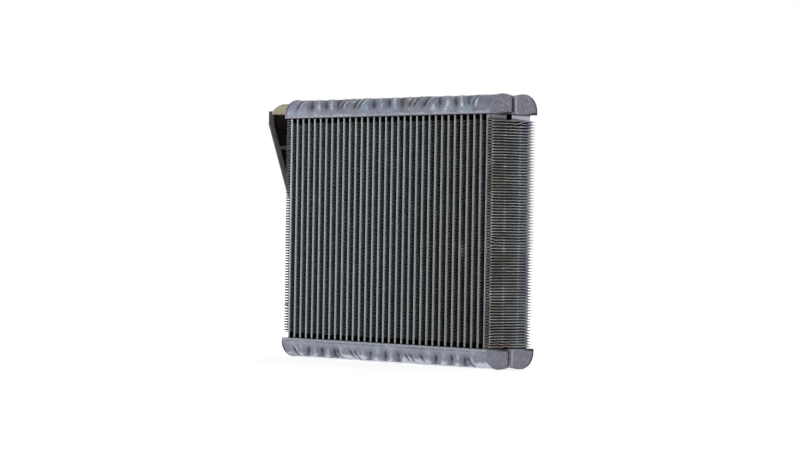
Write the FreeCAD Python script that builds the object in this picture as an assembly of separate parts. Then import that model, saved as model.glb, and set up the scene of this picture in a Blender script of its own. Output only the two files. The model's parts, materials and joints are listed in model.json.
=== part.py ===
import FreeCAD, Part
import math
import os

from FreeCAD import Vector

# Evaporator core: two rows of flat tubes with folded fins between them, brazed into a
# twin-lobed tank at the top and another at the bottom. A tan connection block, its two
# pipes, a black insulation pad and a tapering bracket sit beside the top tank's left end.
# Millimetres. X runs along the tanks, Y from the front row to the rear row, Z is up.
# The origin is under the middle of the whole part, at the level of the lower end caps' crowns.

# Tubes
tube_count = 33
tube_pitch = 9.0
tube_thickness = 2.5
tube_depth = 23.4
row_gap = 5.8
tube_wall = 0.4
tube_nose = 0.9
port_count = 8
port_web = 0.35
tube_entry = 1.5
core_height = 214.0

# Fins
fold_pitch = 2.58
fin_sheet = 0.15
crest_flat = 0.25
fin_end_gap = 4.2
packs_per_group = 6

# Tanks
header_height = 18.1
plate_thickness = 1.5
plate_edge_radius = 0.8
lip_thickness = 0.65
lip_height = 3.2
lip_overhang = 2.8
end_overhang = 0.05
cover_wall = 1.1
lobe_radius = 15.0
crown_radius = 38.0
shoulder_radius = 2.8
centre_slit = 1.3
cap_thickness = 1.8
cap_plug = 2.0
cap_bridge = 2.6
cap_slit = 2.2
baffle_thickness = 1.5
joint_clearance = 0.05

# Marks pressed into the tank covers, in tube pitches from the first tube
pattern_start = 1.2
pattern_step = 10.45
pattern_repeats = 3
dent_places = (2.4, 4.95, 6.95)
closing_crease = 7.5
partition_creases = (10.8, 19.8, 20.6)
baffle_places = (11.5, 20.5)
crease_mouth = 2.2
crease_floor = 0.8
crease_depth = 0.6
crease_low_angle = 24.0
crease_high_angle = 96.0
dent_radius = 4.5
dent_depth = 0.7
dent_angle = 50.0

# Connection block and its pipes, placed from the left end of the top tank
block_gap = 4.5
block_length = 29.5
block_top = 14.8
block_bottom = -5.0
head_bottom = 5.0
block_front = -17.0
block_rear = 19.0
block_crown_radius = 26.0
block_crown_length = 18.0
block_edge_radius = 1.5
pipe_radius = 4.0
pipe_wall = 1.0
pipe_spread = 11.0
pipe_height = 8.5
pipe_into_tank = 6.0
pipe_into_block = 3.0
port_height = 4.0
outlet_port_radius = 5.0
outlet_port_place = 26.0
inlet_port_radius = 4.0
inlet_port_place = 12.5
stud_hole_radius = 2.1
stud_hole_depth = 12.0
stud_hole_place = 17.8
stud_hole_height = -1.5

# Bracket, its rivets and the insulation pad
bracket_sheet = 1.6
bracket_top = 4.6
bracket_toe = -77.0
bracket_front = -21.0
bracket_lip = 8.4
ear_top = 8.2
ear_width = 4.5
strap_height = -29.5
strap_width = 3.2
core_clearance = 1.0
pad_top = 4.2
pad_clearance = 0.2
rivet_height = -2.0
rivet_places = (-8.0, 10.0)
rivet_radius = 1.6
rivet_depth = 3.5
rivet_head_radius = 2.6
rivet_head_height = 1.0

# How far a cutting shape stands out of what it cuts
past = 1.0

# Sizes that follow
fin_height = tube_pitch - tube_thickness
row_length = (tube_count - 1) * tube_pitch
core_depth = 2 * tube_depth + row_gap
row_offset = (tube_depth + row_gap) / 2
header_half_depth = core_depth / 2 + lip_overhang
cap_rim = lip_thickness + joint_clearance
cover_half_depth = header_half_depth - cap_rim
end_x = row_length / 2 + tube_thickness / 2 + fin_height + end_overhang
cover_end_x = end_x - cap_thickness
lobe_centre_y = cover_half_depth - lobe_radius
lobe_centre_z = header_height - lobe_radius
bracket_outer_x = -end_x - block_gap - block_length - bracket_sheet
part_left_x = bracket_outer_x - rivet_head_height
centre_shift = -(part_left_x + end_x) / 2
lower_plate_z = header_height + cap_rim
upper_plate_z = lower_plate_z + core_height


def in_space(point, plane, level):
    """Put a point of a flat drawing into space, at a level along the axis across it."""
    a, b = point
    if plane == "YZ":
        return Vector(level, a, b)
    if plane == "XZ":
        return Vector(a, level, b)
    return Vector(a, b, level)


def prism(path, plane, low, high):
    """A solid whose section is a closed path. A step is a point, or an arc's middle and end."""
    across = in_space((0, 0), plane, high - low)
    edges = []
    last = path[0]
    for step in path[1:] + [path[0]]:
        curved = isinstance(step[0], tuple)
        end = step[1] if curved else step
        start_point = in_space(last, plane, low)
        end_point = in_space(end, plane, low)
        if curved:
            middle_point = in_space(step[0], plane, low)
            edges.append(Part.Arc(start_point, middle_point, end_point).toShape())
        elif start_point.distanceToPoint(end_point) > 1e-6:
            edges.append(Part.makeLine(start_point, end_point))
        last = end
    return Part.Face(Part.Wire(edges)).extrude(across)


def on_circle(centre, radius, degrees):
    """The point of a circle in a flat drawing at an angle from its first axis."""
    turn = math.radians(degrees)
    return (centre[0] + radius * math.cos(turn), centre[1] + radius * math.sin(turn))


def rounded(points, radii):
    """A closed path through points, with an arc of the given radius at each corner."""
    path = []
    for index, (x, y) in enumerate(points):
        radius = radii[index]
        if radius == 0:
            path.append((x, y))
            continue
        before = points[index - 1]
        after = points[(index + 1) % len(points)]
        back = Vector(before[0] - x, before[1] - y, 0).normalize()
        ahead = Vector(after[0] - x, after[1] - y, 0).normalize()
        half_turn = back.getAngle(ahead) / 2
        reach = radius / math.tan(half_turn)
        inward = (back + ahead).normalize()
        depth = radius / math.sin(half_turn) - radius
        start = (x + back.x * reach, y + back.y * reach)
        middle = (x + inward.x * depth, y + inward.y * depth)
        end = (x + ahead.x * reach, y + ahead.y * reach)
        path.append(start)
        path.append((middle, end))
    return path


def box(low, high):
    """A block between two opposite corners."""
    size = Vector(*high) - Vector(*low)
    return Part.makeBox(size.x, size.y, size.z, Vector(*low))


def tube_x(place):
    """Where a place, counted in tube pitches from the first tube, lies along the tanks."""
    return place * tube_pitch - row_length / 2


# Tubes

def tube_outline(grow):
    """The flat tube's outline, a slim bar with full round noses, grown by a clearance."""
    half = tube_thickness / 2 + grow
    straight = (tube_depth - tube_thickness) / 2
    return [
        (half, -straight),
        (half, straight),
        ((0, straight + half), (-half, straight)),
        (-half, -straight),
        ((0, -straight - half), (half, -straight)),
    ]


def make_tube():
    """One flat tube standing on its end, with a row of ports along its whole length."""
    length = core_height + 2 * (plate_thickness + tube_entry)
    tube = prism(tube_outline(0), "XY", 0, length)
    port_pitch = (tube_depth - 2 * tube_nose + port_web) / port_count
    half_port = tube_thickness / 2 - tube_wall
    ports = []
    for index in range(port_count):
        low = -tube_depth / 2 + tube_nose + index * port_pitch
        high = low + port_pitch - port_web
        ports.append(box((-half_port, low, -past), (half_port, high, length + past)))
    return tube.cut(Part.makeCompound(ports))


def place_tubes():
    """Every tube pair: the front and the rear tube at one place along the tanks."""
    tube = make_tube()
    foot = lower_plate_z - plate_thickness - tube_entry
    pairs = []
    for index in range(tube_count):
        pair = []
        for side in (-1, 1):
            pair.append(tube.translated(Vector(tube_x(index), side * row_offset, foot)))
        pairs.append(Part.makeCompound(pair))
    return pairs


# Fins

def make_fin():
    """One fin: a thin sheet folded to and fro between two tubes, from end to end."""
    folds = int((core_height - 2 * fin_end_gap) / fold_pitch)
    first = -folds * fold_pitch / 2
    half_flat = crest_flat / 2
    left_side = [(0, first)]
    right_side = []
    for index in range(2 * folds + 1):
        level = first + index * fold_pitch / 2
        low = max(level - half_flat, first)
        high = min(level + half_flat, -first)
        if index % 2 == 0:
            left_side += [(0, low), (0, high)]
            right_side.append((fin_sheet, level))
        else:
            left_side.append((fin_height - fin_sheet, level))
            right_side += [(fin_height, low), (fin_height, high)]
    outline = left_side[1:] + right_side[::-1]
    points = [Vector(x, -core_depth / 2, z) for x, z in outline]
    face = Part.Face(Part.makePolygon(points + points[:1]))
    return face.extrude(Vector(0, core_depth, 0))


def place_fins():
    """Every fin from left to right: one outside the first tube, one in each gap, one outside the last."""
    fin = make_fin()
    middle = lower_plate_z + core_height / 2
    fins = []
    for index in range(tube_count + 1):
        left_face = tube_x(index) - tube_thickness / 2 - fin_height
        fins.append(fin.translated(Vector(left_face, 0, middle)))
    return fins


# Tanks, drawn with the tube plate's face to the core at height zero and the crown up

def lobe_path(side, inset, foot, slit=centre_slit):
    """One lobe of the tank's section: a straight foot, a large round outside, a flatter crown
    and a small shoulder down to the slit between the lobes. inset draws it smaller all round."""
    slit_y = slit / 2 + inset
    outer_y = cover_half_depth - inset
    outer_radius = lobe_radius - inset
    top_radius = crown_radius - inset
    small_radius = shoulder_radius - inset
    top_centre = (lobe_centre_y, header_height - crown_radius)
    across = lobe_centre_y - slit_y - small_radius
    rise = math.sqrt((top_radius - small_radius) ** 2 - across ** 2)
    small_centre = (slit_y + small_radius, top_centre[1] + rise)
    lean = math.degrees(math.atan2(rise, -across))
    outer_centre = (lobe_centre_y, lobe_centre_z)
    steps = [
        (slit_y, foot),
        (slit_y, small_centre[1]),
        (on_circle(small_centre, small_radius, (180 + lean) / 2), on_circle(top_centre, top_radius, lean)),
        (on_circle(top_centre, top_radius, (lean + 90) / 2), on_circle(top_centre, top_radius, 90)),
        (on_circle(outer_centre, outer_radius, 45), on_circle(outer_centre, outer_radius, 0)),
        (outer_y, foot),
    ]
    if side > 0:
        return steps
    mirrored = []
    for step in steps:
        if isinstance(step[0], tuple):
            mirrored.append(tuple((-y, z) for y, z in step))
        else:
            mirrored.append((-step[0], step[1]))
    return mirrored


def crease(x, side):
    """A narrow groove with sloping sides over the outside of one lobe, square to the tank."""
    slope = (crease_mouth - crease_floor) / 2 / crease_depth
    half_top = crease_floor / 2 + slope * (crease_depth + past)
    floor_y = lobe_centre_y + lobe_radius - crease_depth
    top_y = lobe_centre_y + lobe_radius + past
    corners = [
        (x - crease_floor / 2, floor_y),
        (x + crease_floor / 2, floor_y),
        (x + half_top, top_y),
        (x - half_top, top_y),
    ]
    points = [Vector(corner_x, side * y, lobe_centre_z) for corner_x, y in corners]
    section = Part.Face(Part.makePolygon(points + points[:1]))
    centre = Vector(x, side * lobe_centre_y, lobe_centre_z)
    about = Vector(side, 0, 0)
    section = section.rotated(centre, about, crease_low_angle)
    return section.revolve(centre, about, crease_high_angle - crease_low_angle)


def dent(x, side):
    """A straight round bar laid against the outside of one lobe, which leaves a wide soft hollow."""
    lobe_centre = (lobe_centre_y, lobe_centre_z)
    middle_y, middle_z = on_circle(lobe_centre, lobe_radius + dent_radius - dent_depth, dent_angle)
    turn = math.radians(dent_angle)
    along = Vector(0, -side * math.sin(turn), math.cos(turn))
    middle = Vector(x, side * middle_y, middle_z)
    return Part.makeCylinder(dent_radius, 2 * lobe_radius, middle - along * lobe_radius, along)


def pressed_marks():
    """The marks of one tank, on both lobes: the same run of creases and dents in each third,
    and further creases over the partitions."""
    creases = list(partition_creases)
    dents = []
    for index in range(pattern_repeats):
        start = pattern_start + index * pattern_step
        creases += [start, start + closing_crease]
        dents += [start + place for place in dent_places]
    marks = []
    for side in (-1, 1):
        marks += [crease(tube_x(place), side) for place in creases]
        marks += [dent(tube_x(place), side) for place in dents]
    return marks


def make_cover():
    """The tank's cover: one sheet pressed into two lobes that meet in a narrow fold."""
    shell = box(
        (-cover_end_x, -centre_slit / 2, plate_thickness),
        (cover_end_x, centre_slit / 2, plate_thickness + cover_wall),
    )
    hollows = []
    for side in (-1, 1):
        lobe = prism(lobe_path(side, 0, plate_thickness), "YZ", -cover_end_x, cover_end_x)
        shell = shell.fuse(lobe)
        hollow_path = lobe_path(side, cover_wall, 0)
        hollows.append(prism(hollow_path, "YZ", -end_x, end_x))
    shell = shell.removeSplitter()
    shell = shell.cut(Part.makeCompound(hollows))
    return shell.cut(Part.makeCompound(pressed_marks()))


def make_tube_plate():
    """The tube plate: a flat sheet with turned-up lips and a slot for each tube."""
    outer = header_half_depth
    inner = header_half_depth - lip_thickness
    points = [
        (-outer, 0),
        (outer, 0),
        (outer, lip_height),
        (inner, lip_height),
        (inner, plate_thickness),
        (-inner, plate_thickness),
        (-inner, lip_height),
        (-outer, lip_height),
    ]
    radii = [plate_edge_radius, plate_edge_radius, 0, 0, 0, 0, 0, 0]
    plate = prism(rounded(points, radii), "YZ", -cover_end_x, cover_end_x)
    slot = prism(tube_outline(joint_clearance), "XY", -past, plate_thickness + past)
    slots = []
    for index in range(tube_count):
        for side in (-1, 1):
            slots.append(slot.translated(Vector(tube_x(index), side * row_offset, 0)))
    return plate.cut(Part.makeCompound(slots))


def make_cap(side, with_pipe_holes):
    """An end cap: a twin-lobed plate over the ends of the cover and the tube plate, flush with
    the plate's lips, with a plug into each lobe."""
    outer_face = side * end_x
    inner_face = side * (cover_end_x + joint_clearance)
    plug_face = side * (cover_end_x - cap_plug)
    cap = box(
        (min(inner_face, outer_face), -lobe_centre_y, 0),
        (max(inner_face, outer_face), lobe_centre_y, cap_bridge),
    )
    plug_foot = plate_thickness + joint_clearance
    for lobe in (-1, 1):
        face_path = lobe_path(lobe, -cap_rim, 0, cap_slit + 2 * cap_rim)
        plug_path = lobe_path(lobe, cover_wall + joint_clearance, plug_foot)
        cap = cap.fuse(prism(face_path, "YZ", min(inner_face, outer_face), max(inner_face, outer_face)))
        cap = cap.fuse(prism(plug_path, "YZ", min(plug_face, outer_face), max(plug_face, outer_face)))
    cap = cap.removeSplitter()
    if with_pipe_holes:
        hole_radius = pipe_radius + joint_clearance
        hole_length = cap_thickness + cap_plug + 2 * past
        for lobe in (-1, 1):
            centre = Vector(-end_x - past, lobe * pipe_spread, pipe_height)
            cap = cap.cut(Part.makeCylinder(hole_radius, hole_length, centre, Vector(1, 0, 0)))
    return cap


def make_baffle(lobe, place):
    """A partition across one lobe, in the gap between two tubes."""
    middle = tube_x(place)
    path = lobe_path(lobe, cover_wall + joint_clearance, plate_thickness + joint_clearance)
    return prism(path, "YZ", middle - baffle_thickness / 2, middle + baffle_thickness / 2)


def upper(shape):
    """Seat a tank piece on the top of the core."""
    return shape.translated(Vector(0, 0, upper_plate_z))


def lower(shape):
    """Turn a tank piece over about the tanks' length and seat it under the core."""
    turned = shape.rotated(Vector(0, 0, 0), Vector(1, 0, 0), 180)
    return turned.translated(Vector(0, 0, lower_plate_z))


# Left end, placed from the top tank's end face and the top tube plate's face to the core

def left_of_tank(distance):
    """A place along X, counted outwards from the top tank's left end."""
    return -end_x - distance


def at_top(height):
    """A height counted from the top tube plate's face to the core."""
    return upper_plate_z + height


def make_pipe(side):
    """A straight stub pipe from one lobe of the top tank into the connection block."""
    start = Vector(left_of_tank(block_gap + pipe_into_block), side * pipe_spread, at_top(pipe_height))
    length = pipe_into_block + block_gap + cap_thickness + cap_plug + pipe_into_tank
    along = Vector(1, 0, 0)
    pipe = Part.makeCylinder(pipe_radius, length, start, along)
    return pipe.cut(Part.makeCylinder(pipe_radius - pipe_wall, length, start, along))


def make_block():
    """The connection block: a head with a sloping crown that reaches over the pad to the
    bracket's ear, a narrower body with two ports and a bolt hole in its rear face, and two
    sockets for the pipes in the face to the tank."""
    near = left_of_tank(block_gap)
    far = left_of_tank(block_gap + block_length)
    head_far = bracket_outer_x + ear_width + joint_clearance
    crown_start = head_far + block_crown_length
    centre = (crown_start, block_top - block_crown_radius)
    far_turn = 90 + math.degrees(math.asin(block_crown_length / block_crown_radius))
    far_top = on_circle(centre, block_crown_radius, far_turn)
    crown_middle = on_circle(centre, block_crown_radius, (90 + far_turn) / 2)
    head_path = [
        (near, at_top(head_bottom)),
        (near, at_top(block_top)),
        (crown_start, at_top(block_top)),
        ((crown_middle[0], at_top(crown_middle[1])), (far_top[0], at_top(far_top[1]))),
        (head_far, at_top(head_bottom)),
    ]
    head = prism(head_path, "XZ", bracket_front, block_rear)
    front_edges = [edge for edge in head.Edges if is_front_crown_edge(edge)]
    head = head.makeFillet(block_edge_radius, front_edges)
    body = box(
        (far, block_front, at_top(block_bottom)),
        (near, block_rear, at_top(head_bottom)),
    )
    block = body.fuse(head).removeSplitter()
    into = Vector(0, -1, 0)
    passages = []
    ports = (
        (outlet_port_radius, outlet_port_place, -pipe_spread),
        (inlet_port_radius, inlet_port_place, pipe_spread),
    )
    for radius, place, pipe_y in ports:
        mouth = Vector(left_of_tank(place), block_rear, at_top(port_height))
        passages.append(Part.makeCylinder(radius, block_rear - pipe_y + pipe_radius, mouth, into))
        socket = Vector(near, pipe_y, at_top(pipe_height))
        bore_radius = pipe_radius - pipe_wall
        passages.append(Part.makeCylinder(bore_radius, place - block_gap, socket, Vector(-1, 0, 0)))
        socket_radius = pipe_radius + joint_clearance
        passages.append(Part.makeCylinder(socket_radius, pipe_into_block, socket, Vector(-1, 0, 0)))
    hole = Vector(left_of_tank(stud_hole_place), block_rear, at_top(stud_hole_height))
    passages.append(Part.makeCylinder(stud_hole_radius, stud_hole_depth, hole, into))
    rivet_hole_radius = rivet_radius + joint_clearance
    for y in rivet_places:
        start = Vector(far, y, at_top(rivet_height))
        passages.append(Part.makeCylinder(rivet_hole_radius, rivet_depth, start, Vector(1, 0, 0)))
    for passage in passages:
        block = block.cut(passage)
    return block


def is_front_crown_edge(edge):
    """Whether an edge bounds the head's front face along its sloping or flat crown."""
    middle = edge.valueAt((edge.FirstParameter + edge.LastParameter) / 2)
    on_front = abs(middle.y - bracket_front) < 1e-6
    on_bottom = abs(middle.z - at_top(head_bottom)) < 1e-6
    on_side = abs(abs(edge.tangentAt(edge.FirstParameter).z) - 1) < 1e-6
    return on_front and not on_bottom and not on_side


def bracket_band(width, top=bracket_top):
    """The bracket's tapering side as a path: straight down beside the block, then in to the core."""
    outer = bracket_outer_x
    toe = left_of_tank(core_clearance + bracket_sheet)
    return [
        (outer, at_top(top)),
        (outer, at_top(block_bottom)),
        (toe, at_top(bracket_toe)),
        (toe + width, at_top(bracket_toe)),
        (outer + width, at_top(block_bottom)),
        (outer + width, at_top(top)),
    ]


def make_bracket():
    """The bracket: a bent side wall with a front lip, a strap across to the core, and an ear
    at the top that stands beside the block's head."""
    core_side = left_of_tank(core_clearance)
    lip_back = bracket_front + bracket_sheet
    wall = prism(bracket_band(bracket_sheet, ear_top), "XZ", bracket_front, block_rear)
    lip = prism(bracket_band(bracket_lip), "XZ", bracket_front, lip_back)
    ear = box(
        (bracket_outer_x, bracket_front, at_top(block_bottom)),
        (bracket_outer_x + ear_width, lip_back, at_top(ear_top)),
    )
    strap = box(
        (bracket_outer_x, bracket_front, at_top(strap_height)),
        (core_side, lip_back, at_top(strap_height + strap_width)),
    )
    slope_room = prism(bracket_band(core_side - bracket_outer_x), "XZ", bracket_front, lip_back)
    bracket = wall.fuse([lip, ear, strap.common(slope_room)])
    room = box(
        (bracket_outer_x, bracket_front, at_top(bracket_toe)),
        (core_side, block_rear, at_top(ear_top)),
    )
    bracket = bracket.common(room).removeSplitter()
    for y in rivet_places:
        start = Vector(bracket_outer_x, y, at_top(rivet_height))
        hole = Part.makeCylinder(rivet_radius + joint_clearance, bracket_sheet, start, Vector(1, 0, 0))
        bracket = bracket.cut(hole)
    return bracket


def make_pad(pipes):
    """The insulation pad: soft filling inside the bracket, cut away round the block and pipes."""
    slack = pad_clearance
    inner = bracket_outer_x + bracket_sheet + slack
    toe = left_of_tank(core_clearance)
    core_side = left_of_tank(core_clearance - slack)
    path = [
        (inner, at_top(pad_top)),
        (inner, at_top(block_bottom)),
        (toe, at_top(bracket_toe + slack)),
        (core_side, at_top(bracket_toe + slack)),
        (core_side, at_top(pad_top)),
    ]
    pad = prism(path, "XZ", bracket_front + bracket_sheet + slack, block_rear)
    pocket = box(
        (bracket_outer_x, block_front - slack, at_top(block_bottom) - slack),
        (left_of_tank(block_gap) + slack, block_rear + past, at_top(pad_top) + past),
    )
    pad = pad.cut(pocket)
    for pipe in pipes:
        centre = pipe.BoundBox.Center
        room = box(
            (pipe.BoundBox.XMin, centre.y - pipe_radius - slack, centre.z - pipe_radius - slack),
            (pipe.BoundBox.XMax, centre.y + pipe_radius + slack, at_top(block_top)),
        )
        pad = pad.cut(room)
    return pad


def make_rivets():
    """The rivets that hold the bracket to the block, each with a low domed head."""
    rivets = []
    head_round = (rivet_head_radius ** 2 + rivet_head_height ** 2) / (2 * rivet_head_height)
    for y in rivet_places:
        foot = Vector(bracket_outer_x, y, at_top(rivet_height))
        shank = Part.makeCylinder(rivet_radius, bracket_sheet + rivet_depth, foot, Vector(1, 0, 0))
        ball = Part.makeSphere(head_round, foot + Vector(head_round - rivet_head_height, 0, 0))
        outside = box(
            (bracket_outer_x - 2 * head_round, y - head_round, at_top(rivet_height) - head_round),
            (bracket_outer_x, y + head_round, at_top(rivet_height) + head_round),
        )
        rivets.append(shank.fuse(ball.common(outside)))
    return Part.makeCompound(rivets)


def save(name, shape):
    """Write one piece, moved so that the whole part is centred on the origin."""
    shape.translated(Vector(centre_shift, 0, 0)).exportStep("parts/" + name + ".step")


def build():
    os.makedirs("parts", exist_ok=True)
    cover = make_cover()
    plate = make_tube_plate()
    save("top_tank_cover", upper(cover))
    save("bottom_tank_cover", lower(cover))
    save("top_tube_plate", upper(plate))
    save("bottom_tube_plate", lower(plate))
    save("top_left_end_cap", upper(make_cap(-1, True)))
    save("top_right_end_cap", upper(make_cap(1, False)))
    save("bottom_left_end_cap", lower(make_cap(-1, False)))
    save("bottom_right_end_cap", lower(make_cap(1, False)))
    save("top_front_baffle", upper(make_baffle(-1, baffle_places[0])))
    save("top_rear_baffle", upper(make_baffle(1, baffle_places[0])))
    save("bottom_front_baffle", lower(make_baffle(1, baffle_places[1])))
    save("bottom_rear_baffle", lower(make_baffle(-1, baffle_places[1])))
    for index, pair in enumerate(place_tubes()):
        save("tube_pair_%02d" % (index + 1), pair)
    fins = place_fins()
    save("left_outer_fin", fins[0])
    save("right_outer_fin", fins[-1])
    inner_fins = fins[1:-1]
    for start in range(0, len(inner_fins), packs_per_group):
        group = inner_fins[start:start + packs_per_group]
        save("fin_group_%d" % (start // packs_per_group + 1), Part.makeCompound(group))
    pipes = [make_pipe(-1), make_pipe(1)]
    save("connection_block", make_block())
    save("outlet_pipe", pipes[0])
    save("inlet_pipe", pipes[1])
    save("end_bracket", make_bracket())
    save("insulation_pad", make_pad(pipes))
    save("bracket_rivets", make_rivets())


build()
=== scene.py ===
import json
import math

import bmesh
import bpy
import numpy as np
from mathutils import Matrix, Vector


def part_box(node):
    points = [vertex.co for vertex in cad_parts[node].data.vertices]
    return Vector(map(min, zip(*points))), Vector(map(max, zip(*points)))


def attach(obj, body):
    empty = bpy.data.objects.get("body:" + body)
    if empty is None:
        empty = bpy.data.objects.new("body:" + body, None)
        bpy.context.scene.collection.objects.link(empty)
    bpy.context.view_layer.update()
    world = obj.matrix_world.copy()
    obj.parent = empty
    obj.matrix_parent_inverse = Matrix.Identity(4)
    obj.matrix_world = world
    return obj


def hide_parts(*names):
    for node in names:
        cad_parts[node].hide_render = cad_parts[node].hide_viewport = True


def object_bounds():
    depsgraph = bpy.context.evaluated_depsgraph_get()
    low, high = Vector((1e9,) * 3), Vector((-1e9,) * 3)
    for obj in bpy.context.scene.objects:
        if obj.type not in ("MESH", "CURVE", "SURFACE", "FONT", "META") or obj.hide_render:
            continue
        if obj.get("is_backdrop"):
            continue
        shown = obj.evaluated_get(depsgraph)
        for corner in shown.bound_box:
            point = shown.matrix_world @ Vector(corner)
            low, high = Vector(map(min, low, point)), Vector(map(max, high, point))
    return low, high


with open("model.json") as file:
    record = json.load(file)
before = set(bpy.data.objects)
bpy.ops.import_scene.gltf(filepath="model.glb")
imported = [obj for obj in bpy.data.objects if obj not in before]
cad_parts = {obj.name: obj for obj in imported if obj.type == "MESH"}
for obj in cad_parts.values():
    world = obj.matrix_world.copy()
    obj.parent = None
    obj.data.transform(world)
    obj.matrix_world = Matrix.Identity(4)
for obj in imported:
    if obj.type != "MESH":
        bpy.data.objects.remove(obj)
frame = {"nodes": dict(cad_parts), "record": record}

# Looks of an evaporator core: tanks, end caps, fins, braze beads and a foam pad are made here
# over the CAD frame, and the tubes, tube plates, pipes, block and bracket keep their CAD shapes.
# Lengths are millimetres until a mesh is made. X runs along the tanks, Y to the rear, Z up.

MM = 0.001
TAU = 2 * math.pi
CAD_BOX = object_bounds()


def node_box(node):
    """The lowest and highest corner of a CAD node, in millimetres."""
    low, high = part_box(node)
    return np.array(low) / MM, np.array(high) / MM


# Places read from the frame
TUBE_COUNT = 33
FIRST_TUBE_LOW, FIRST_TUBE_HIGH = node_box("tube_pair_01")
LAST_TUBE_LOW = node_box("tube_pair_%02d" % TUBE_COUNT)[0]
TUBE_THICKNESS = FIRST_TUBE_HIGH[0] - FIRST_TUBE_LOW[0]
TUBE_PITCH = (LAST_TUBE_LOW[0] - FIRST_TUBE_LOW[0]) / (TUBE_COUNT - 1)
FIRST_TUBE_X = (FIRST_TUBE_LOW[0] + FIRST_TUBE_HIGH[0]) / 2
CORE_HALF_DEPTH = FIRST_TUBE_HIGH[1]
UPPER_FACE = node_box("top_tube_plate")[0][2]
LOWER_FACE = node_box("bottom_tube_plate")[1][2]
COVER_LOW, COVER_HIGH = node_box("top_tank_cover")
CAP_LEFT = node_box("top_left_end_cap")[0][0]
CAP_RIGHT = node_box("top_right_end_cap")[1][0]
LEFT_FIN_X = node_box("left_outer_fin")[0][0]
FIN_LOW, FIN_HIGH = node_box("right_outer_fin")
FIN_HEIGHT = FIN_HIGH[0] - FIN_LOW[0]
FIN_MIDDLE = (FIN_LOW[2] + FIN_HIGH[2]) / 2
PAD_LOW, PAD_HIGH = node_box("insulation_pad")
BLOCK_LOW, BLOCK_HIGH = node_box("connection_block")
BRACKET_LOW, BRACKET_HIGH = node_box("end_bracket")
PIPE_FOOT = node_box("outlet_pipe")[0][2]

# Sizes of the tubes, the block's body and the bracket's sheet
TUBE_ROW_Y = 14.6
TUBE_HALF_DEPTH = 11.7
BLOCK_BODY_FRONT = -17.0
BRACKET_SHEET = 1.6

# Sizes of the tank's section, counted up from the tube plate's face to the core
PLATE_THICKNESS = 1.5
HEADER_HEIGHT = COVER_HIGH[2] - UPPER_FACE
COVER_HALF_DEPTH = COVER_HIGH[1]
LOBE_RADIUS = 15.0
CROWN_RADIUS = 38.0
SHOULDER_RADIUS = 2.8
CENTRE_SLIT = 1.5
LOBE_CENTRE_Y = COVER_HALF_DEPTH - LOBE_RADIUS
LOBE_CENTRE_Z = HEADER_HEIGHT - LOBE_RADIUS
SLIT_FLOOR = 2.6
TANK_STEP = 1.0
LEAST_STEP = 0.15

# Sizes of the end caps. The tray's steps are an inset, a depth and a share of the rim's shade.
CAP_THICKNESS = 1.8
CAP_INNER = 1.75
CAP_RIM = 0.7
CAP_SLIT = 2.4
CAP_ROUND = 1.3
CAP_CLEARANCE = 0.02
CAP_TRAY = ((1.9, 0.05, 0.7), (2.2, 0.12, 0.4), (2.5, 0.2, 0.1))
CAP_BAR_HALF = (CAP_THICKNESS / 2 - 0.05, 1.25)
CAP_BAR_ROUND = 0.4
CAP_BAR_REACH = 4.0

# Sizes of the folded sheet, and of the folds crushed past an outer fin's end
FOLD_COUNT = 79
FOLD_PITCH = (FIN_HIGH[2] - FIN_LOW[2]) / FOLD_COUNT
FIN_SHEET = 0.15
FIN_RECESS = 0.7
FINS_PER_GROUP = 6
LOUVRE_RISE = 1.3
LOUVRE_SEAMS = (-10.1, 7.9)
CREST_RADIUS = 0.45
FIN_SHIFT = 0.3
FIN_BEND = 0.08
FIN_SWAY = 0.12
SWAY_LENGTH = 60
CRUSHED_START = 0.2
CRUSHED_LENGTH = 4.1
CRUSHED_PITCH = 2.2
CRUSHED_POWER = 0.4
LEFT_PRESSED_FLAT = 0.7

# Bent places on the outer fins: middle y and z, half widths, and size
RIGHT_BENT = (
    (10, FIN_HIGH[2] - 3, 22, 5, 1.1),
    (-5, FIN_LOW[2] - 1, 24, 3.5, 1.0),
    (-24, 117, 5, 5, 1.5),
    (0, 90, 14, 10, 0.35),
)
LEFT_BENT = (
    (-22, 92, 14, 3, 1.1),
    (-22, 68, 14, 3, 1.2),
    (-22, 50, 14, 3, 1.1),
    (-20, 120, 14, 12, 0.5),
)

# Sizes of the braze beads, and how far a bead's closing point lies behind both faces
TUBE_BEAD = (0.5, 0.8)
PIPE_BEAD = 1.1
BEAD_SUNK = 0.15

# Sizes of the foam pad
PAD_SLACK = 0.2
PAD_TOE = 2.0
PAD_EDGE = 0.9
PAD_WALL_EDGE = 0.6
PAD_WALL_OVERLAP = 6.0
PAD_VOXEL = 0.7
SOFT_POWER = 2 / 7

# Marks pressed into the tanks, in tube pitches from the first tube
CREASES = (1.1, 8.65, 10.85, 11.6, 19.9, 20.65, 22.3, 29.85)
DENTS = (3.5, 5.95, 8.0, 14.0, 16.5, 18.55, 24.6, 27.1, 29.15)
WIDE_DENTS = (8.0, 18.55, 29.15)
# Spans over which the crowns' painted sheen is strongest, in tube pitches
SHEEN_SPANS = ((9.2, 13.2), (19.1, 23.4), (30.6, 33.5))

# Sizes of the marks. A crease's edges are a distance past it, a width and a share of the rise.
CREASE_WIDTH = 2.0
CREASE_DEPTH = 1.3
CREASE_EDGES = ((3.8, 1.5, 1.0), (-3.6, 1.3, 0.3))
CREASE_RAISED = 0.35
CREASE_REACH = 4.8
DENT_LEAN = 1.19
DENT_FOOT = 26.0
DENT_WIDTH = 2.1
DENT_DEPTH = 0.6
WIDE_DENT_LEAN = 0.6 * DENT_LEAN
WIDE_DENT_WIDTH = 2.8
WIDE_DENT_PAST = 1.2
BASIN_WIDTH = 5.6
BASIN_DEPTH = 0.7
FLANK_PLACE = 9.8
FLANK_WIDTH = 2.8
FLANK_RAISED = 0.22
MOST_RAISED = 0.6
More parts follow.
